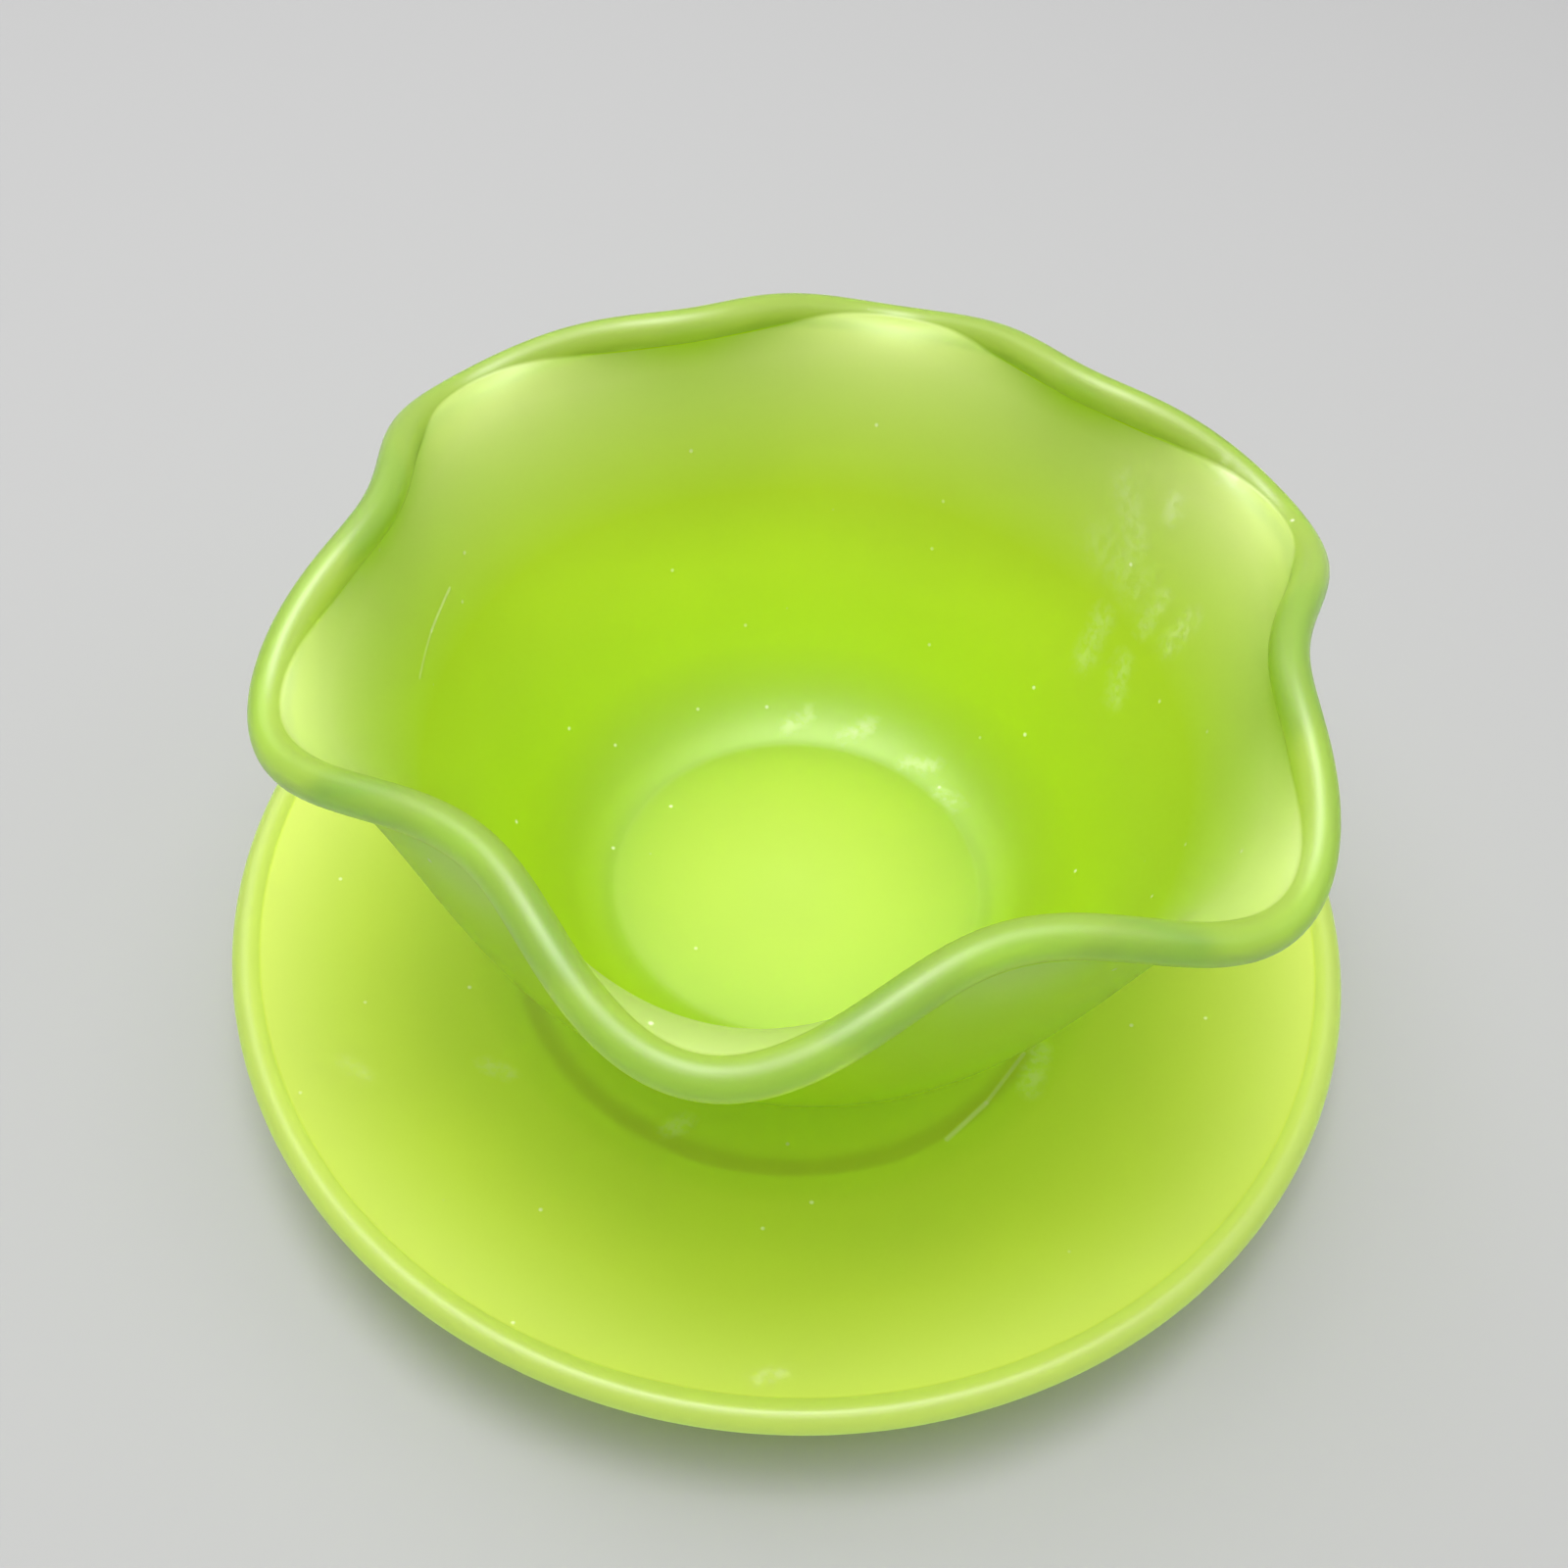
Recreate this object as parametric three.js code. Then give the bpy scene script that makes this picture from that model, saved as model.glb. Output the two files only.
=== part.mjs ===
// Ruffled bowl on its underplate: two loose pieces of satin-finished pressed uranium glass.
//
// Millimetres, +Z up. The origin is on the table, under the middle of the plate.
// The bowl's rim has six lobes, which flare out and dip, with six crimps between them, which
// stand in and up. One lobe faces -Y. Turns are counted round +Z from that front lobe.

import * as THREE from "three";

const FULL_TURN = 2 * Math.PI;

// Underplate
const PLATE_RADIUS = 85.5;
const PLATE_EDGE_HEIGHT = 15.6; // the middle of the rolled edge
const PLATE_BEAD_RADIUS = 2.15;
const PLATE_THICKNESS = 3.0;
const WELL_RADIUS = 42.5; // the flat floor that the bowl stands on
const WELL_HEIGHT = 6.2; // its upper face
const BASE_RING_INNER = 41.0;
const BASE_RING_OUTER = 45.5;
const FLANGE_LEVEL_TO = 50; // the flange leaves the well level, heading for this radius
const FLANGE_BEND_RADIUS = 62; // and meets the rolled edge on a line from here,
const FLANGE_BEND_RISE = 3.5; // this much above the well

// Bowl: foot and floor
const BOWL_OFF_CENTRE = 0.9; // the bowl stands loose, a little towards +X
const STANDING_GAP = 0.3; // between the foot and the plate's well
const FOOT_OUTER = 31.0;
const FOOT_INNER = 27.0;
const FLOOR_HEIGHT = 15.6; // the upper face of the bowl's floor
const FLOOR_THICKNESS = 3.0;

// Bowl: wall and rim
const WALL_THICKNESS = 2.7;
const WALL_FOOT_RADIUS = 29.1; // where the middle of the wall leaves the floor
const WALL_FOOT_HEIGHT = 14.3;
const WALL_FOOT_SLOPE = THREE.MathUtils.degToRad(12);
const WALL_FOOT_REACH = 25.1; // how far the wall holds that slope
const RIM_RADIUS = 64.4; // the middle of the rim bead, lobes and crimps averaged
const RIM_HEIGHT = 76.2;
const RIM_REACH = 4.8; // how far the flare under the rim runs level
const RIM_BEAD_RADIUS = 2.5;

// Bowl: the ruffle
const LOBES = 6;
const LOBE_REACH = 5.5; // lobes out and crimps in, from the mean rim
const LOBE_DIP = 3.2; // lobes down and crimps up
const CRIMP_FLATTENING = 0.5; // broadens the crimps' tops and narrows the lobes' dips
const REACH_GROWTH = 5.0; // powers by which the ruffle dies away down the wall
const DIP_GROWTH = 5.5;

// Fineness of the faceted solids
const TURN_STEPS = 12 * LOBES;
const WALL_STEPS = 10;
const BEAD_STEPS = 8;
const FLANGE_STEPS = 6;
const CORNER_STEPS = 2;

// Points of an arc in a section, both ends included. Angles run from the outward direction
// towards +Z.
function arc(radius, height, arcRadius, startAngle, endAngle, steps) {
  const points = [];
  for (let step = 0; step <= steps; step++) {
    const angle = THREE.MathUtils.lerp(startAngle, endAngle, step / steps);
    const point = new THREE.Vector2(Math.cos(angle), Math.sin(angle));
    points.push(point.multiplyScalar(arcRadius).add(new THREE.Vector2(radius, height)));
  }
  return points;
}

// Points beside a curve, from one fraction of its length to another. A positive offset lies to
// the right of the way the curve runs: outside and below a wall that climbs outwards.
function beside(curve, offset, startFraction, endFraction, steps) {
  const points = [];
  for (let step = 0; step <= steps; step++) {
    const fraction = THREE.MathUtils.lerp(startFraction, endFraction, step / steps);
    const along = curve.getTangentAt(fraction);
    const side = new THREE.Vector2(along.y, -along.x).multiplyScalar(offset);
    points.push(curve.getPointAt(fraction).add(side));
  }
  return points;
}

// The two sides of a sheet of glass and the bead at its end, as one run of points: out along
// the lower side, round the bead and back along the upper side.
function beadedSheet(curve, thickness, beadRadius, startFractions, steps) {
  const neck = Math.sqrt(beadRadius ** 2 - (thickness / 2) ** 2);
  const neckFraction = 1 - (neck + thickness / 4) / curve.getLength();
  const neckAngle = Math.PI - Math.asin(thickness / 2 / beadRadius);
  const end = curve.getPointAt(1);
  const heading = curve.getTangentAt(1).angle();
  const lower = beside(curve, thickness / 2, startFractions.lower, neckFraction, steps);
  const upper = beside(curve, -thickness / 2, startFractions.upper, neckFraction, steps);
  const bead = arc(end.x, end.y, beadRadius, heading - neckAngle, heading + neckAngle, BEAD_STEPS);
  return [...lower, ...bead, ...upper.reverse()];
}

// A closed body turned about +Z whose section may change with the turn. Every section has the
// same number of points, and runs from the axis below to the axis above.
function turnedBody(sectionAt) {
  const pointCount = sectionAt(0).length;
  const geometry = new THREE.LatheGeometry(sectionAt(0), TURN_STEPS);
  const position = geometry.getAttribute("position");
  for (let step = 0; step <= TURN_STEPS; step++) {
    const turn = (step / TURN_STEPS) * FULL_TURN;
    sectionAt(turn).forEach((point, index) => {
      const x = point.x * Math.sin(turn);
      const z = point.x * Math.cos(turn);
      position.setXYZ(step * pointCount + index, x, point.y, z);
    });
  }
  geometry.computeVertexNormals();
  return geometry.rotateX(Math.PI / 2);
}

// The middle of the bowl's wall at one turn, from the floor to the rim: a smooth flared curve,
// carried out and down at the lobes and in and up at the crimps.
class WallLine extends THREE.Curve {
  constructor(turn) {
    super();
    this.wave = Math.cos(LOBES * turn);
    this.doubleWave = Math.cos(2 * LOBES * turn);
    this.plain = new THREE.CubicBezierCurve(
      new THREE.Vector2(WALL_FOOT_RADIUS, WALL_FOOT_HEIGHT),
      new THREE.Vector2(
        WALL_FOOT_RADIUS + WALL_FOOT_REACH * Math.cos(WALL_FOOT_SLOPE),
        WALL_FOOT_HEIGHT + WALL_FOOT_REACH * Math.sin(WALL_FOOT_SLOPE)
      ),
      new THREE.Vector2(RIM_RADIUS - RIM_REACH, RIM_HEIGHT),
      new THREE.Vector2(RIM_RADIUS, RIM_HEIGHT)
    );
  }

  getPoint(fraction, target = new THREE.Vector2()) {
    this.plain.getPoint(fraction, target);
    const dip = LOBE_DIP * this.wave + CRIMP_FLATTENING * this.doubleWave;
    target.x += LOBE_REACH * this.wave * fraction ** REACH_GROWTH;
    target.y -= dip * fraction ** DIP_GROWTH;
    return target;
  }
}

// The bowl's underside, from the axis out over the hollow of the foot, round the foot ring and
// up to the wall.
function footSection() {
  const corner = 1.0;
  const footHeight = WELL_HEIGHT + STANDING_GAP;
  const underFloor = FLOOR_HEIGHT - FLOOR_THICKNESS;
  const right = Math.PI / 2;
  return [
    new THREE.Vector2(0, underFloor),
    ...arc(FOOT_INNER - corner, underFloor - corner, corner, right, 0, CORNER_STEPS),
    ...arc(FOOT_INNER + corner, footHeight + corner, corner, 2 * right, 3 * right, CORNER_STEPS),
    ...arc(FOOT_OUTER - corner, footHeight + corner, corner, -right, 0, CORNER_STEPS),
    ...arc(FOOT_OUTER + corner, underFloor, corner, 2 * right, right, CORNER_STEPS),
  ];
}

function ruffledBowlGeometry() {
  const outerWallStart = 0.045; // fraction of the wall's length that the foot ring takes up
  return turnedBody((turn) => {
    const starts = { lower: outerWallStart, upper: 0 };
    const line = new WallLine(turn);
    const wall = beadedSheet(line, WALL_THICKNESS, RIM_BEAD_RADIUS, starts, WALL_STEPS);
    return [...footSection(), ...wall, new THREE.Vector2(0, FLOOR_HEIGHT)];
  });
}

// The plate's underside, from the axis out to the base ring, its flat face on the table, and
// up to the flange.
function baseSection() {
  const corner = 0.8;
  const underWell = WELL_HEIGHT - PLATE_THICKNESS;
  const ringTop = underWell - corner / 2; // where the ring's outside runs into the flange
  const right = Math.PI / 2;
  return [
    new THREE.Vector2(0, underWell),
    ...arc(BASE_RING_INNER - corner, underWell - corner, corner, right, 0, CORNER_STEPS),
    ...arc(BASE_RING_INNER + corner, corner, corner, 2 * right, 3 * right, CORNER_STEPS),
    ...arc(BASE_RING_OUTER - corner, corner, corner, -right, 0, CORNER_STEPS),
    ...arc(BASE_RING_OUTER + corner, ringTop, corner, 2 * right, right, CORNER_STEPS),
  ];
}

// The middle of the plate's flange: level where it leaves the well, then a gentle rise.
function flangeLine() {
  const middleOfWell = WELL_HEIGHT - PLATE_THICKNESS / 2;
  return new THREE.CubicBezierCurve(
    new THREE.Vector2(WELL_RADIUS, middleOfWell),
    new THREE.Vector2(FLANGE_LEVEL_TO, middleOfWell),
    new THREE.Vector2(FLANGE_BEND_RADIUS, middleOfWell + FLANGE_BEND_RISE),
    new THREE.Vector2(PLATE_RADIUS - PLATE_BEAD_RADIUS, PLATE_EDGE_HEIGHT)
  );
}

function underplateGeometry() {
  const starts = { lower: 0.14, upper: 0 }; // the lower side starts outside the base ring
  const flange = beadedSheet(
    flangeLine(), PLATE_THICKNESS, PLATE_BEAD_RADIUS, starts, FLANGE_STEPS
  );
  const section = [...baseSection(), ...flange, new THREE.Vector2(0, WELL_HEIGHT)];
  return turnedBody(() => section);
}

const bowl = new THREE.Mesh(
  ruffledBowlGeometry(),
  new THREE.MeshStandardMaterial({ color: "#9fd62c", roughness: 0.45, metalness: 0 })
);
bowl.name = "ruffled_bowl";
bowl.position.x = BOWL_OFF_CENTRE;

const plate = new THREE.Mesh(
  underplateGeometry(),
  new THREE.MeshStandardMaterial({ color: "#b6db4e", roughness: 0.5, metalness: 0 })
);
plate.name = "underplate";

const glassDish = new THREE.Group();
glassDish.add(plate, bowl);

export default glassDish;
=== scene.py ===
"""Looks of the ruffled uranium-glass bowl on its underplate.

Both pieces are built as fine meshes from the same shape rules as the CAD solids that they stand
for. Metres, +Z up, origin on the table under the middle of the plate. Turns are counted round +Z
from the bowl's front lobe, which faces -Y, and a turn of a quarter faces +X.
"""

import math

import bpy
import numpy as np
from mathutils import Matrix, Vector


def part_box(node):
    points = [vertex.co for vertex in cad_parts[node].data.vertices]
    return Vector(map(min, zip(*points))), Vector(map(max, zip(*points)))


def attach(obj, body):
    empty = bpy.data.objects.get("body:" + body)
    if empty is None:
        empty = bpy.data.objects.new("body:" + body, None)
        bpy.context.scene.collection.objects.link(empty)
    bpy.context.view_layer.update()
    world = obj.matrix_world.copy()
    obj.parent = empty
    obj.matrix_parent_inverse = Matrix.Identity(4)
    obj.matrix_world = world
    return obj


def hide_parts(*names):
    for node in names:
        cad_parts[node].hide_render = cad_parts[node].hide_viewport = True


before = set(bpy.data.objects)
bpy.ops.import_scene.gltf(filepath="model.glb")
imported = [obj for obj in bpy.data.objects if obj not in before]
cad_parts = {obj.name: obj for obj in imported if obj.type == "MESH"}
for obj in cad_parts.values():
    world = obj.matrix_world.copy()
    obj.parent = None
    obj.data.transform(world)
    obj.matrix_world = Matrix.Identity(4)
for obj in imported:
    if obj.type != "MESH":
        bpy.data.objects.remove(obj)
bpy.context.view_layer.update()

MM = 0.001
FULL_TURN = 2 * math.pi

plate_low, plate_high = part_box("underplate")
bowl_low, bowl_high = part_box("ruffled_bowl")

# ---------------------------------------------------------------- sizes

# Underplate
PLATE_BEAD_RADIUS = 2.15 * MM
PLATE_RADIUS = (plate_high[0] - plate_low[0]) / 2
PLATE_EDGE_HEIGHT = plate_high[2] - PLATE_BEAD_RADIUS  # the middle of the rolled edge
PLATE_THICKNESS = 3.0 * MM
WELL_RADIUS = 42.5 * MM
WELL_HEIGHT = 6.2 * MM
BASE_RING_INNER = 41.0 * MM
BASE_RING_OUTER = 45.5 * MM
BASE_SHARE = 0.14  # of the flange's underside, taken up by the base ring
FLANGE_LEVEL_TO = 50 * MM
FLANGE_BEND_RADIUS = 62 * MM
FLANGE_BEND_RISE = 3.5 * MM

# Bowl: foot and floor
BOWL_CENTRE = (bowl_low[0] + bowl_high[0]) / 2  # along X: the bowl stands a little off centre
FOOT_HEIGHT = bowl_low[2]
FOOT_OUTER = 31.0 * MM
FOOT_INNER = 27.0 * MM
FLOOR_HEIGHT = 15.6 * MM
FLOOR_THICKNESS = 3.0 * MM
FOOT_SHARE = 0.045  # of the wall's outside, taken up by the foot ring

# Bowl: wall, rim and ruffle
WALL_THICKNESS = 2.7 * MM
WALL_FOOT_RADIUS = 29.1 * MM
WALL_FOOT_HEIGHT = 14.3 * MM
WALL_FOOT_SLOPE = math.radians(12)
WALL_FOOT_REACH = 25.1 * MM
RIM_RADIUS = 64.4 * MM
RIM_HEIGHT = 76.2 * MM
RIM_REACH = 4.8 * MM
RIM_BEAD_RADIUS = 2.5 * MM
LOBES = 6
LOBE_REACH = 5.5 * MM
LOBE_DIP = 3.2 * MM
CRIMP_FLATTENING = 0.5 * MM
REACH_GROWTH = 5.0
DIP_GROWTH = 5.5

# Fineness of the meshes
TURN_STEPS = 60 * LOBES
WALL_ROWS = 56
BEAD_ROWS = 36
FLOOR_ROWS = 16
UNDER_ROWS = 8
AXIS = 0.001 * MM  # radius of the tiny faces that close a piece on its axis
CREASE = 0.3 * MM  # width of the soft crease between a wall and its bead
CORNER_ROWS = 6
LINE_SAMPLES = 401  # points along a middle line, from which the rows are picked
TOP_STEP = 1.0 * MM  # between the flat middle of a piece and the start of its wall


# ---------------------------------------------------------------- shapes

def arc(radius, height, arc_radius, start, end, rows=CORNER_ROWS):
    """Points of an arc in a section, both ends included, as (radius, height) rows."""
    angles = np.linspace(start, end, rows + 1)
    return np.stack([radius + arc_radius * np.cos(angles), height + arc_radius * np.sin(angles)], 1)


def line(start, end, rows):
    """Points of a straight run in a section, both ends included."""
    return np.linspace(start, end, rows + 1)


def bezier(points, fractions):
    """Points of a cubic curve at the given fractions of its parameter."""
    t = np.asarray(fractions)[:, None]
    a, b, c, d = (np.asarray(point) for point in points)
    return (1 - t) ** 3 * a + 3 * (1 - t) ** 2 * t * b + 3 * (1 - t) * t ** 2 * c + t ** 3 * d


def bowl_wall(fractions, turn):
    """The middle of the bowl's wall at one turn, from the floor (0) to the rim (1)."""
    slope_end = (
        WALL_FOOT_RADIUS + WALL_FOOT_REACH * math.cos(WALL_FOOT_SLOPE),
        WALL_FOOT_HEIGHT + WALL_FOOT_REACH * math.sin(WALL_FOOT_SLOPE),
    )
    middle = bezier(
        [(WALL_FOOT_RADIUS, WALL_FOOT_HEIGHT), slope_end, (RIM_RADIUS - RIM_REACH, RIM_HEIGHT),
         (RIM_RADIUS, RIM_HEIGHT)],
        fractions,
    )
    wave = math.cos(LOBES * turn)
    dip = LOBE_DIP * wave + CRIMP_FLATTENING * math.cos(2 * LOBES * turn)
    middle[:, 0] += LOBE_REACH * wave * fractions ** REACH_GROWTH
    middle[:, 1] -= dip * fractions ** DIP_GROWTH
    return middle


def plate_flange(fractions, turn):
    """The middle of the plate's flange, which is the same at every turn."""
    middle_of_well = WELL_HEIGHT - PLATE_THICKNESS / 2
    return bezier(
        [(WELL_RADIUS, middle_of_well), (FLANGE_LEVEL_TO, middle_of_well),
         (FLANGE_BEND_RADIUS, middle_of_well + FLANGE_BEND_RISE),
         (PLATE_RADIUS - PLATE_BEAD_RADIUS, PLATE_EDGE_HEIGHT)],
        fractions,
    )


def beaded_sheet(middle_at, turn, thickness, bead_radius, lower_start):
    """The section of a sheet of glass and of the bead at its end, at one turn: out along the
    lower side, round the bead and back along the upper side. Where the sheet runs aslant
    through the section, it and its bead are drawn wider, to keep their true thickness."""
    fractions = np.linspace(0, 1, LINE_SAMPLES)
    small = 1e-4  # a turn in radians, to find how the sheet drifts sideways
    middle = middle_at(fractions, turn)
    drift = (middle_at(fractions, turn + small) - middle_at(fractions, turn - small)) / (2 * small)
    along = np.gradient(middle, axis=0)
    along /= np.linalg.norm(along, axis=1)[:, None]
    below = np.stack([along[:, 1], -along[:, 0]], 1)
    aslant = np.hypot(1, (drift * below).sum(1) / middle[:, 0])
    end = middle[-1]
    rim_way = drift[-1] / np.linalg.norm([*drift[-1], end[0]])
    heading = math.atan2(along[-1, 1], along[-1, 0])
    runs, angles = [], []
    for side, start in ((1, lower_start), (-1, 0)):
        run = middle + side * (thickness / 2 * aslant)[:, None] * below
        gap = ((run - end) ** 2).sum(1) - ((run - end) @ rim_way) ** 2 - bead_radius ** 2
        inside = int(np.argmax(gap < 0))
        share = gap[inside - 1] / (gap[inside - 1] - gap[inside])
        meeting = run[inside - 1] + share * (run[inside] - run[inside - 1])
        run = np.vstack([run[:inside], meeting])
        lengths = np.concatenate([[0], np.cumsum(np.linalg.norm(np.diff(run, axis=0), axis=1))])
        wanted = np.linspace(start * lengths[-1], lengths[-1] - CREASE, WALL_ROWS)
        wanted = [*wanted, lengths[-1]]
        runs.append(np.stack([np.interp(wanted, lengths, run[:, axis]) for axis in (0, 1)], 1))
        turned_by = math.atan2(*(meeting - end)[::-1]) - heading
        angles.append(heading - side * (-side * turned_by % FULL_TURN))
    way = np.linspace(*angles, BEAD_ROWS + 1)[1:-1]
    spoke = np.stack([np.cos(way), np.sin(way)], 1)
    reach = bead_radius / np.sqrt(1 - (spoke @ rim_way) ** 2)
    return runs[0], end + reach[:, None] * spoke, runs[1][::-1]


def bowl_foot():
    """The bowl's underside, from its axis out over the hollow of the foot and round its ring."""
    corner = 1.0 * MM
    under_floor = FLOOR_HEIGHT - FLOOR_THICKNESS
    right = math.pi / 2
    return np.vstack([
        line((AXIS, under_floor), (FOOT_INNER - 2 * corner, under_floor), UNDER_ROWS),
        arc(FOOT_INNER - corner, under_floor - corner, corner, right, 0),
        arc(FOOT_INNER + corner, FOOT_HEIGHT + corner, corner, 2 * right, 3 * right),
        arc(FOOT_OUTER - corner, FOOT_HEIGHT + corner, corner, -right, 0),
        arc(FOOT_OUTER + corner, under_floor, corner, 2 * right, right),
    ])


def plate_base():
    """The plate's underside, from its axis out to the base ring and up to the flange."""
    corner = 0.8 * MM
    under_well = WELL_HEIGHT - PLATE_THICKNESS
    ring_top = under_well - corner / 2
    right = math.pi / 2
    return np.vstack([
        line((AXIS, under_well), (BASE_RING_INNER - 2 * corner, under_well), UNDER_ROWS),
        arc(BASE_RING_INNER - corner, under_well - corner, corner, right, 0),
        arc(BASE_RING_INNER + corner, corner, corner, 2 * right, 3 * right),
        arc(BASE_RING_OUTER - corner, corner, corner, -right, 0),
        arc(BASE_RING_OUTER + corner, ring_top, corner, 2 * right, right),
    ])


def turned_rows(under, sheet_at, top_radius, top_height, centre):
    """Rows of points round an axis, from under the middle of a piece, round its bead, to the
    middle of its upper side, and for each row 1 if it lies on the bead, or 0. sheet_at gives the
    runs of the lower side, the bead and the upper side at a turn."""
    top = line((top_radius, top_height), (AXIS, top_height), FLOOR_ROWS)
    columns = []
    for turn in np.arange(TURN_STEPS) / TURN_STEPS * FULL_TURN:
        lower, bead, upper = sheet_at(turn)
        section = np.vstack([under, lower, bead, upper, top])
        radius, height = section.T
        columns.append(np.stack(
            [centre + radius * math.sin(turn), -radius * math.cos(turn), height], 1))
    in_bead = np.zeros(len(section))
    first = len(under) + len(lower)
    in_bead[first:first + len(bead)] = 1
    return np.stack(columns, 1), in_bead


def bowl_rows():
    return turned_rows(
        bowl_foot(),
        lambda turn: beaded_sheet(bowl_wall, turn, WALL_THICKNESS, RIM_BEAD_RADIUS, FOOT_SHARE),
        WALL_FOOT_RADIUS - TOP_STEP, FLOOR_HEIGHT, BOWL_CENTRE,
    )


def plate_rows():
    flange = beaded_sheet(plate_flange, 0, PLATE_THICKNESS, PLATE_BEAD_RADIUS, BASE_SHARE)
    return turned_rows(
        plate_base(), lambda turn: flange, WELL_RADIUS - TOP_STEP, WELL_HEIGHT, 0)


def turned_piece(name, rows, in_bead):
    """A closed mesh from rows of points round an axis. The first and last rows close on it."""
    row_count, step_count = rows.shape[:2]
    vertices = rows.reshape(-1, 3)
    row, step = np.meshgrid(np.arange(row_count - 1), np.arange(step_count), indexing="ij")
    following = (step + 1) % step_count
    quads = np.stack([
        row * step_count + step, row * step_count + following,
        (row + 1) * step_count + following, (row + 1) * step_count + step,
    ], -1).reshape(-1, 4)
    mesh = bpy.data.meshes.new(name)
    around = list(range(step_count))
    caps = [around[::-1], [(row_count - 1) * step_count + step for step in around]]
    mesh.from_pydata(vertices.tolist(), [], quads.tolist() + caps)
    mesh.validate()
    mesh.shade_smooth()
    attribute = mesh.attributes.new("in_bead", "FLOAT", "POINT")
    attribute.data.foreach_set("value", np.repeat(in_bead, step_count).astype(np.float32))
    piece = bpy.data.objects.new(name, mesh)
    bpy.context.scene.collection.objects.link(piece)
    return piece


# ---------------------------------------------------------------- marks of wear

# Marks as (from, to, radius in mm, strength). A place on the bowl is a turn in degrees and a
# fraction of the inner wall, and one on the plate is a turn and a radius in mm.
BOWL_SCRATCHES = [
    ((261, 0.615), (269, 0.60), 0.45, 0.7),  # the long scratch on the left
    ((269, 0.60), (277, 0.58), 0.4, 0.5),
]
BOWL_RUBBED = [
    ((279, 0.87), (286, 0.91), 1.2, 0.3),
    ((139, 0.75), (133, 0.66), 2.4, 0.7),  # patches on the right, running up the wall
    ((139, 0.62), (129, 0.60), 4.0, 0.4),
    ((131, 0.78), (130, 0.75), 1.6, 0.9),
    ((132, 0.51), (131, 0.43), 2.4, 0.6),
    ((124, 0.48), (121, 0.43), 2.2, 0.6),
    ((124, 0.62), (124, 0.55), 1.6, 0.7),
    ((117, 0.64), (118, 0.57), 2.0, 0.7),
    ((129, 0.95), (126, 0.93), 1.5, 1.0),
    ((194, 0.05), (188, 0.08), 1.4, 0.9),  # chafing round the floor
    ((176, 0.04), (170, 0.08), 1.5, 1.0),
    ((155, 0.03), (147, 0.06), 1.4, 0.9),
    ((140, 0.02), (132, 0.03), 1.3, 0.8),
]
PLATE_SCRATCHES = [
    ((66, 43.8), (52, 44.8), 0.5, 0.4),  # where the bowl's foot has chafed
    ((52, 44.8), (41, 46.2), 0.6, 0.55),
]
PLATE_RUBBED = [
    ((68, 45.6), (60, 47.8), 1.8, 0.8),
    ((349, 41.5), (347, 43.0), 1.4, 0.7),
    ((318, 52.4), (315, 54.4), 1.4, 0.7),
    ((311, 71.0), (309, 72.4), 1.4, 0.6),
    ((10, 77.8), (8, 78.8), 1.3, 0.7),
]
RUB_REACH = 1.3  # a rubbed place fades away between 0.3 and 1.3 of its radius


def place_at(turn, radius, height, centre):
    """The point at a turn in degrees, a distance from an upright axis, and a height."""
    turn = math.radians(turn)
    return Vector((centre + radius * math.sin(turn), -radius * math.cos(turn), height))


def on_bowl(turn, fraction):
    """A point on the bowl's inner wall."""
    nearby = 0.01  # as a fraction, to find how steeply the wall climbs
    fractions = np.array([fraction - nearby, fraction, fraction + nearby])
    before, middle, after = bowl_wall(fractions, math.radians(turn))
    climb = math.atan2(*(after - before)[::-1])
    radius = middle[0] - WALL_THICKNESS / 2 * math.sin(climb)
    height = middle[1] + WALL_THICKNESS / 2 * math.cos(climb)
    return place_at(turn, radius, height, BOWL_CENTRE)


def on_plate(turn, radius_mm):
    """A point on the plate's upper side."""
    flange = plate_flange(np.linspace(0, 1, LINE_SAMPLES), 0)
    middle = np.interp(radius_mm * MM, flange[:, 0], flange[:, 1])
    return place_at(turn, radius_mm * MM, middle + PLATE_THICKNESS / 2, 0)


def add_rubbed(piece, rubbed, point_at):
    """Store how rubbed each vertex is, from 0 to 1, in the piece's mesh."""
    mesh = piece.data
    points = np.empty(3 * len(mesh.vertices))
    mesh.vertices.foreach_get("co", points)
    points = points.reshape(-1, 3)
    worn = np.zeros(len(points))
    for start, end, radius, strength in rubbed:
        start, end = np.array(point_at(*start)), np.array(point_at(*end))
        run = end - start
        share = np.clip((points - start) @ run / (run @ run), 0, 1)
        gap = np.linalg.norm(points - start - share[:, None] * run, axis=1)
        worn = np.maximum(worn, strength * np.clip(RUB_REACH - gap / (radius * MM), 0, 1))
    attribute = mesh.attributes.new("rubbed", "FLOAT", "POINT")
    attribute.data.foreach_set("value", worn.astype(np.float32))


# ---------------------------------------------------------------- materials

SATIN_ROUGHNESS = 0.45
BEAD_ROUGHNESS = 0.34
SATIN_CLEARNESS = 0.6  # share of the light that goes through instead of being scattered
BEAD_CLEARNESS = 0.72
GLASS_IOR = 1.52
VEIL = 0.2  # the milky sheen of the etched skin, as a coat
VEIL_ROUGHNESS = 0.4
DEPTH_COLOUR = (0.85, 0.96, 0.04)  # left of white light after a way through the glass
DEPTH_DENSITY = 150  # per metre
GRAIN_DEPTH = 0.02 * MM  # of the etched surface
GRAIN_STRENGTH = 0.4
GRAIN_NOISE = 1500  # ripples per metre

# Soft clouds, where the glass is a little darker or rougher
CLOUD_NOISE = 30  # ripples per metre
CLOUD_RANGE = (0.3, 0.7)  # of the noise
CLOUD_SHADE = 0.95
CLOUD_ROUGHNESS = 0.04

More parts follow.
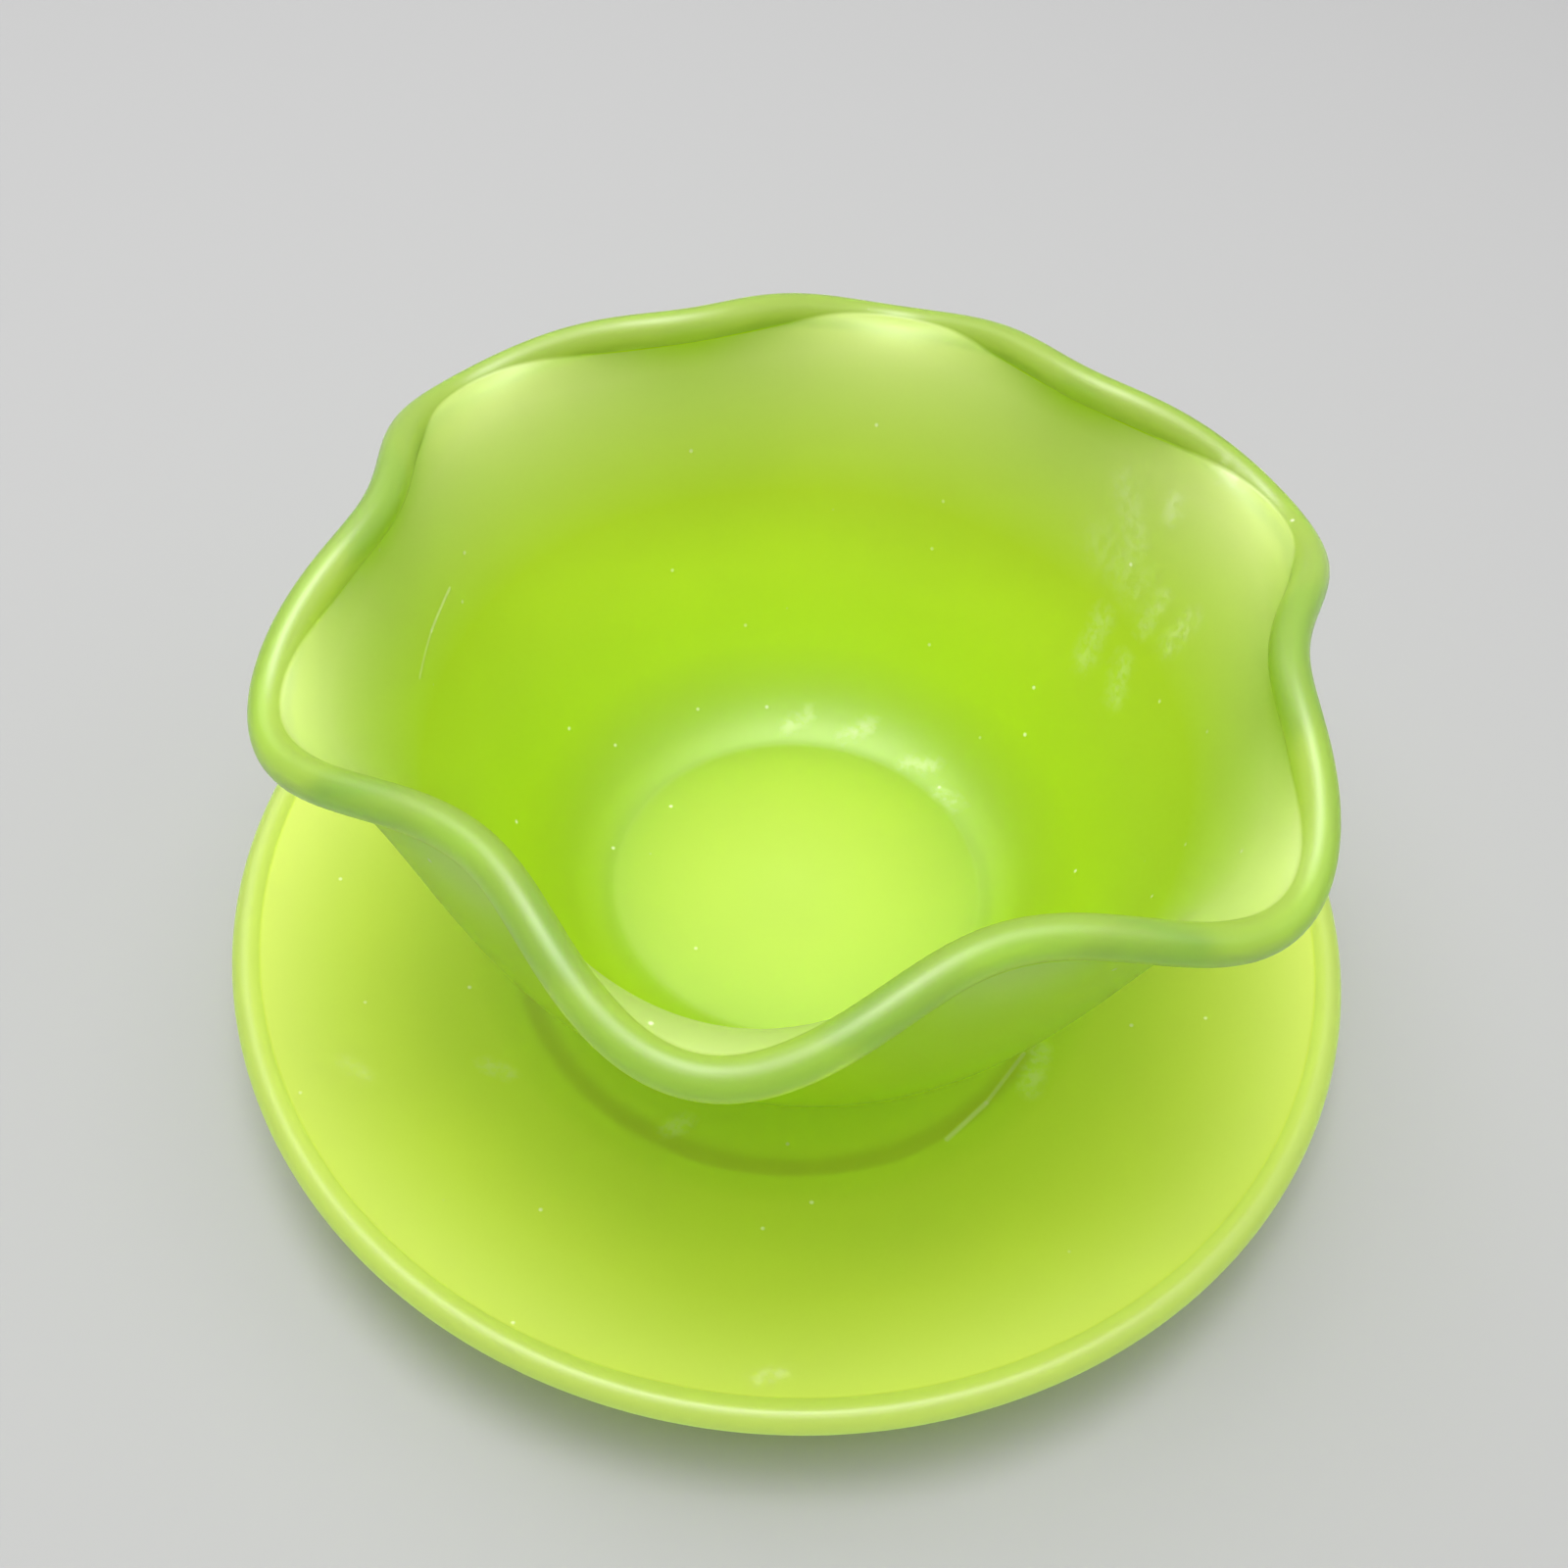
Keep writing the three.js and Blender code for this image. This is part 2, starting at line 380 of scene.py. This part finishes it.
# Wear, with specks that are partly dust and partly painted glints
WORN_AND_GLINT_COLOUR = (0.93, 0.97, 0.72)
WORN_ROUGHER = 0.2
WORN_LESS_CLEAR = 0.35
RUB_NOISE = 700  # ripples per metre, which break up a rubbed place
RUB_RANGE = (0.35, 0.68)  # of the noise
RUB_LEAST = 0.1
RUB_MOST = 0.55
# Specks: pale dots of dust that also stand in for small painted glints
SPECK_SPACING = 6 * MM
SPECK_RADIUS = 0.45 * MM
SPECK_CORE = 0.3  # share of the radius that is fully bright
SPECKS_KEPT = 0.5
SPECK_STRENGTH = 0.85

# Painted shade for the sides that face down, and the beads' colours, with painted light on them
UNDERSIDE_PAINTED_SHADE = (0.64, 0.91, 0.0)
# the bowl's bead: deeper for its thicker glass, with a painted dark reflection of the surroundings
BOWL_BEAD_COLOUR_AND_REFLECTION = (0.64, 0.83, 0.16)
# the plate's bead: paler with a painted sheen
PLATE_BEAD_COLOUR_AND_SHEEN = (0.86, 0.97, 0.28)

# Colours by level, with painted light and shade in them: painted shade in a ring round the bowl's
# foot and in the plate's well under the bowl, a painted pool of light in the bowl's floor, and a
# painted sheen on the lobes' flare and towards the plate's edge. A level is the height in mm, plus a
# little of the distance from the axis, to tell a floor's middle and edge apart.
LEVEL_PER_RADIUS = 0.04
BOWL_COLOURS_AND_PAINTED_LIGHT = [
    (15.6, (0.80, 0.97, 0.10)),  # the middle of the floor, brighter with a painted pool of light
    (16.2, (0.76, 0.95, 0.06)),
    (16.9, (0.52, 0.76, 0.01)),  # painted shade in a ring over the foot, where the gap under the wall is in shadow
    (20.5, (0.54, 0.78, 0.01)),
    (28.0, (0.67, 0.93, 0.015)),
    (40.0, (0.69, 0.90, 0.045)),
    (52.0, (0.71, 0.91, 0.05)),
    (74.0, (0.86, 0.98, 0.34)),  # the flare of the lobes, paler with a painted sheen
    (80.0, (0.72, 0.90, 0.22)),  # the crimps, with less of the painted sheen
]
PLATE_COLOURS_AND_PAINTED_LIGHT = [
    (8.0, (0.64, 0.88, 0.01)),  # the well, under the bowl, darker with the bowl's painted shadow
    # paler outwards: a painted sheen
    (9.4, (0.80, 0.95, 0.06)),
    (14.4, (0.87, 0.98, 0.12)),
    (18.6, (0.91, 0.99, 0.20)),
]
# Painted glow: light that the glass gives off itself, to lift its brightness; stronger on the plate
BOWL_PAINTED_GLOW = (0.005, 0.01, 0.0)  # the bowl's faint painted glow
PLATE_PAINTED_GLOW = (0.05, 0.065, 0.008)


class NodeSheet:
    """Short ways to add the nodes of one material."""

    def __init__(self, material):
        material.use_nodes = True
        self.nodes = material.node_tree.nodes
        self.links = material.node_tree.links
        coordinates = self.nodes.new("ShaderNodeTexCoord")
        self.place = coordinates.outputs["Object"]
        self.facing = coordinates.outputs["Normal"]

    def feed(self, socket, value):
        if isinstance(value, bpy.types.NodeSocket):
            self.links.new(value, socket)
        else:
            socket.default_value = value

    def attribute(self, name):
        node = self.nodes.new("ShaderNodeAttribute")
        node.attribute_name = name
        return node.outputs["Fac"]

    def maths(self, operation, first, second=0.0, clamp=False):
        node = self.nodes.new("ShaderNodeMath")
        node.operation = operation
        node.use_clamp = clamp
        self.feed(node.inputs[0], first)
        self.feed(node.inputs[1], second)
        return node.outputs[0]

    def vector(self, operation, first, second, output="Vector"):
        node = self.nodes.new("ShaderNodeVectorMath")
        node.operation = operation
        self.feed(node.inputs[0], first)
        self.feed(node.inputs["Scale" if operation == "SCALE" else 1], second)
        return node.outputs[output]

    def ramp(self, value, low, high, at_low=0.0, at_high=1.0):
        """A value that goes softly from at_low to at_high as another goes from low to high."""
        node = self.nodes.new("ShaderNodeMapRange")
        node.interpolation_type = "SMOOTHSTEP"
        self.feed(node.inputs["Value"], value)
        ends = {"From Min": low, "From Max": high, "To Min": at_low, "To Max": at_high}
        for socket, number in ends.items():
            self.feed(node.inputs[socket], number)
        return node.outputs["Result"]

    def noise(self, scale, detail):
        node = self.nodes.new("ShaderNodeTexNoise")
        node.inputs["Scale"].default_value = scale
        node.inputs["Detail"].default_value = detail
        self.links.new(self.place, node.inputs["Vector"])
        return node.outputs["Fac"]

    def mix(self, share, first, second):
        node = self.nodes.new("ShaderNodeMix")
        node.data_type = "RGBA"
        self.feed(node.inputs["Factor"], share)
        self.feed(node.inputs["A"], first)
        self.feed(node.inputs["B"], second)
        return node.outputs["Result"]

    def upright_part(self, vector):
        node = self.nodes.new("ShaderNodeSeparateXYZ")
        self.links.new(vector, node.inputs["Vector"])
        return node.outputs["Z"]

    def colour_by_level(self, stops):
        """A colour that changes with the level, by a list of (level in mm, colour)."""
        flat = self.vector("MULTIPLY", self.place, (1, 1, 0))
        radius = self.vector("DISTANCE", flat, (0, 0, 0), "Value")
        raised = self.maths("MULTIPLY", radius, LEVEL_PER_RADIUS)
        level = self.maths("ADD", self.upright_part(self.place), raised)
        low, high = stops[0][0] * MM, stops[-1][0] * MM
        share = self.maths("DIVIDE", self.maths("SUBTRACT", level, low), high - low)
        node = self.nodes.new("ShaderNodeValToRGB")
        self.links.new(share, node.inputs["Fac"])
        elements = node.color_ramp.elements
        while len(elements) < len(stops):
            elements.new(0.5)
        for element, (stop, _) in zip(elements, stops):
            element.position = (stop * MM - low) / (high - low)
        for element, (_, colour) in zip(elements, stops):
            element.color = (*colour, 1)
        return node.outputs["Color"]

    def scratch(self, start, end, radius):
        """1 on the line between two points, fading to 0 at a distance from it."""
        run = end - start
        from_start = self.vector("SUBTRACT", self.place, start)
        along = self.vector("DOT_PRODUCT", from_start, run, "Value")
        share = self.maths("DIVIDE", along, run.length_squared, clamp=True)
        nearest = self.vector("SCALE", run, share)
        gap = self.vector("DISTANCE", from_start, nearest, "Value")
        return self.ramp(gap, 0.0, radius, 1.0, 0.0)

    def specks(self, spacing, radius, kept):
        """Sparse tiny specks, on a share of the points of a random lattice: dust, and painted
        glints.
        """
        cells = self.nodes.new("ShaderNodeTexVoronoi")
        cells.inputs["Scale"].default_value = 1 / spacing
        self.links.new(self.place, cells.inputs["Vector"])
        size = radius / spacing
        dot = self.ramp(cells.outputs["Distance"], SPECK_CORE * size, size, 1.0, 0.0)
        chance = self.nodes.new("ShaderNodeSeparateColor")
        self.links.new(cells.outputs["Color"], chance.inputs["Color"])
        return self.maths("MULTIPLY", dot, self.maths("LESS_THAN", chance.outputs["Red"], kept))

    def bump(self, height, strength, distance):
        node = self.nodes.new("ShaderNodeBump")
        node.inputs["Strength"].default_value = strength
        node.inputs["Distance"].default_value = distance
        self.links.new(height, node.inputs["Height"])
        return node.outputs["Normal"]


def wear_and_glints_of(sheet, scratches, point_at):
    """How worn the glass is: its scratches and rubbed places, broken up finely, and specks, which
    are dust and also painted glints.
    """
    broken_up = sheet.ramp(sheet.noise(RUB_NOISE, 2), *RUB_RANGE, RUB_LEAST, RUB_MOST)
    worn = sheet.maths("MULTIPLY", sheet.attribute("rubbed"), broken_up)
    for start, end, radius, strength in scratches:
        line_mask = sheet.scratch(point_at(*start), point_at(*end), radius * MM)
        worn = sheet.maths("ADD", worn, sheet.maths("MULTIPLY", line_mask, strength), clamp=True)
    specks = sheet.specks(SPECK_SPACING, SPECK_RADIUS, SPECKS_KEPT)
    specks = sheet.maths("MULTIPLY", specks, SPECK_STRENGTH)
    return sheet.maths("ADD", worn, specks, clamp=True)


def satin_glass(name, colours_and_painted_light, bead_colour_and_light, painted_glow, scratches, point_at):
    """Etched glass, coloured in its depth, worn a little, and clearer on its polished bead. Its
    colour and emission also hold painted shade, sheen, reflection and glow.
    """
    material = bpy.data.materials.new(name)
    sheet = NodeSheet(material)
    shader = sheet.nodes["Principled BSDF"]
    bead = sheet.attribute("in_bead")
    wear_and_glints = wear_and_glints_of(sheet, scratches, point_at)
    cloud = sheet.noise(CLOUD_NOISE, 1)

    # painted shade: faces that look down take the darker underside colour, as if in shadow
    facing_up = sheet.ramp(sheet.upright_part(sheet.facing), -0.2, 0.2)
    # the colour by level, with painted shade, a painted pool of light and a painted sheen
    tint_and_painted_light = sheet.mix(facing_up, (*UNDERSIDE_PAINTED_SHADE, 1), sheet.colour_by_level(colours_and_painted_light))
    # the bead's colour, with its painted reflection on the bowl and its painted sheen on the plate
    tint_and_painted_light = sheet.mix(bead, tint_and_painted_light, (*bead_colour_and_light, 1))
    tint_and_painted_light = sheet.vector("SCALE", tint_and_painted_light, sheet.ramp(cloud, *CLOUD_RANGE, CLOUD_SHADE, 1.0))
    # whitened by wear, and by the specks, which are also painted glints
    sheet.feed(shader.inputs["Base Color"], sheet.mix(wear_and_glints, tint_and_painted_light, (*WORN_AND_GLINT_COLOUR, 1)))

    roughness = sheet.ramp(bead, 0, 1, SATIN_ROUGHNESS, BEAD_ROUGHNESS)
    uneven = sheet.ramp(cloud, *CLOUD_RANGE, CLOUD_ROUGHNESS, -CLOUD_ROUGHNESS)
    roughness = sheet.maths("ADD", roughness, uneven)
    rubbed_dull = sheet.maths("MULTIPLY", wear_and_glints, WORN_ROUGHER)
    roughness = sheet.maths("ADD", roughness, rubbed_dull, clamp=True)
    sheet.feed(shader.inputs["Roughness"], roughness)

    clearness = sheet.ramp(bead, 0, 1, SATIN_CLEARNESS, BEAD_CLEARNESS)
    lost = sheet.maths("MULTIPLY", wear_and_glints, WORN_LESS_CLEAR)
    clearness = sheet.maths("SUBTRACT", clearness, lost, clamp=True)
    sheet.feed(shader.inputs["Transmission Weight"], clearness)

    grain = sheet.bump(sheet.noise(GRAIN_NOISE, 1), GRAIN_STRENGTH, GRAIN_DEPTH)
    sheet.feed(shader.inputs["Normal"], grain)

    shader.inputs["IOR"].default_value = GLASS_IOR
    shader.inputs["Coat Weight"].default_value = VEIL
    shader.inputs["Coat Roughness"].default_value = VEIL_ROUGHNESS
    # painted glow: the glass gives off light of its own
    shader.inputs["Emission Color"].default_value = (*painted_glow, 1)
    shader.inputs["Emission Strength"].default_value = 1
    depth = sheet.nodes.new("ShaderNodeVolumeAbsorption")
    depth.inputs["Color"].default_value = (*DEPTH_COLOUR, 1)
    depth.inputs["Density"].default_value = DEPTH_DENSITY
    sheet.links.new(depth.outputs["Volume"], sheet.nodes["Material Output"].inputs["Volume"])
    return material


# ---------------------------------------------------------------- stage, light and camera

FLOOR_SHADE = 0.40
FLOOR_ROUGHNESS = 0.85
FLOOR_HALF_WIDTH = 12.0
SKY_LOW = 0.36  # brightness of the sky, up to SKY_RISE
SKY_HIGH = 0.6  # and straight overhead
SKY_RISE = 0.3  # as the upright part of the direction

# Round lamps: name, place, the point that it faces, width, power in watts
LAMPS = [
    ("overhead", (-0.1, 0.0, 1.3), (-0.1, 0.0, 0.0), 1.5, 14.5),
    ("back_left", (-0.8, 0.6, 0.9), (0.0, 0.0, 0.03), 0.8, 1.5),
    ("overhead_core", (-0.1, 0.1, 1.25), (-0.1, 0.1, 0.0), 0.6, 5.5),
    ("right", (1.0, 0.1, 0.9), (0.0, 0.0, 0.03), 0.8, 1.0),
]

# The photograph's viewpoint: about 25 cm from the plate, looking down at it
CAMERA_DISTANCE = 2.91 * PLATE_RADIUS  # from the middle of the plate's edge
CAMERA_ELEVATION = math.radians(52.735)
CAMERA_AZIMUTH = math.radians(7.57)  # from the front, towards +X
CAMERA_YAW = math.radians(0.558)  # away from looking straight at the plate
CAMERA_PITCH = math.radians(3.419)
CAMERA_ROLL = math.radians(-4.344)
CAMERA_SENSOR = 36
CAMERA_LENS = 36.045


def plain_floor():
    mesh = bpy.data.meshes.new("floor")
    half = FLOOR_HALF_WIDTH
    corners = [(-half, -half, 0), (half, -half, 0), (half, half, 0), (-half, half, 0)]
    mesh.from_pydata(corners, [], [(0, 1, 2, 3)])
    floor = bpy.data.objects.new("floor", mesh)
    bpy.context.scene.collection.objects.link(floor)
    material = bpy.data.materials.new("pale_floor")
    material.use_nodes = True
    shader = material.node_tree.nodes["Principled BSDF"]
    shader.inputs["Base Color"].default_value = (FLOOR_SHADE, FLOOR_SHADE, FLOOR_SHADE, 1)
    shader.inputs["Roughness"].default_value = FLOOR_ROUGHNESS
    mesh.materials.append(material)


def soft_lamp(name, place, faces, width, power):
    data = bpy.data.lights.new(name, "AREA")
    data.shape = "DISK"
    data.size = width
    data.energy = power
    lamp = bpy.data.objects.new(name, data)
    lamp.location = place
    lamp.rotation_euler = (Vector(faces) - Vector(place)).to_track_quat("-Z", "Y").to_euler()
    bpy.context.scene.collection.objects.link(lamp)


def soft_sky():
    """A plain white sky, brighter overhead."""
    world = bpy.data.worlds.new("studio")
    bpy.context.scene.world = world
    world.use_nodes = True
    nodes, links = world.node_tree.nodes, world.node_tree.links
    background = nodes["Background"]
    background.inputs["Color"].default_value = (1, 1, 1, 1)
    way = nodes.new("ShaderNodeTexCoord")
    parts = nodes.new("ShaderNodeSeparateXYZ")
    brightness = nodes.new("ShaderNodeMapRange")
    brightness.interpolation_type = "SMOOTHSTEP"
    brightness.inputs["From Min"].default_value = SKY_RISE
    brightness.inputs["From Max"].default_value = 1.0
    brightness.inputs["To Min"].default_value = SKY_LOW
    brightness.inputs["To Max"].default_value = SKY_HIGH
    links.new(way.outputs["Generated"], parts.inputs["Vector"])
    links.new(parts.outputs["Z"], brightness.inputs["Value"])
    links.new(brightness.outputs["Result"], background.inputs["Strength"])


def photo_camera():
    centre = Vector((0, 0, PLATE_EDGE_HEIGHT))
    level = Vector((math.sin(CAMERA_AZIMUTH), -math.cos(CAMERA_AZIMUTH), 0))
    level *= math.cos(CAMERA_ELEVATION)
    place = centre + CAMERA_DISTANCE * (level + Vector((0, 0, math.sin(CAMERA_ELEVATION))))
    forward = (centre - place).normalized()
    right = forward.cross(Vector((0, 0, 1))).normalized()
    up = right.cross(forward)
    forward, right = (Matrix.Rotation(CAMERA_YAW, 3, up) @ way for way in (forward, right))
    forward, up = (Matrix.Rotation(CAMERA_PITCH, 3, right) @ way for way in (forward, up))
    right, up = (Matrix.Rotation(CAMERA_ROLL, 3, forward) @ way for way in (right, up))
    data = bpy.data.cameras.new("camera")
    data.sensor_width = CAMERA_SENSOR
    data.lens = CAMERA_LENS
    data.clip_start = 0.01
    camera = bpy.data.objects.new("camera", data)
    facing = Matrix((right, up, -forward)).transposed().to_4x4()
    camera.matrix_world = Matrix.Translation(place) @ facing
    bpy.context.scene.collection.objects.link(camera)
    bpy.context.scene.camera = camera


# ---------------------------------------------------------------- the scene

bowl = turned_piece("bowl_glass", *bowl_rows())
plate = turned_piece("plate_glass", *plate_rows())
add_rubbed(bowl, BOWL_RUBBED, on_bowl)
add_rubbed(plate, PLATE_RUBBED, on_plate)
bowl.data.materials.append(satin_glass(
    "satin_bowl", BOWL_COLOURS_AND_PAINTED_LIGHT, BOWL_BEAD_COLOUR_AND_REFLECTION, BOWL_PAINTED_GLOW, BOWL_SCRATCHES, on_bowl))
plate.data.materials.append(satin_glass(
    "satin_plate", PLATE_COLOURS_AND_PAINTED_LIGHT, PLATE_BEAD_COLOUR_AND_SHEEN, PLATE_PAINTED_GLOW, PLATE_SCRATCHES, on_plate))
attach(bowl, "bowl")
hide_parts("ruffled_bowl")
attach(plate, "plate")
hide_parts("underplate")

plain_floor()
soft_sky()
for lamp in LAMPS:
    soft_lamp(*lamp)
photo_camera()
bpy.context.scene.view_settings.view_transform = "Standard"
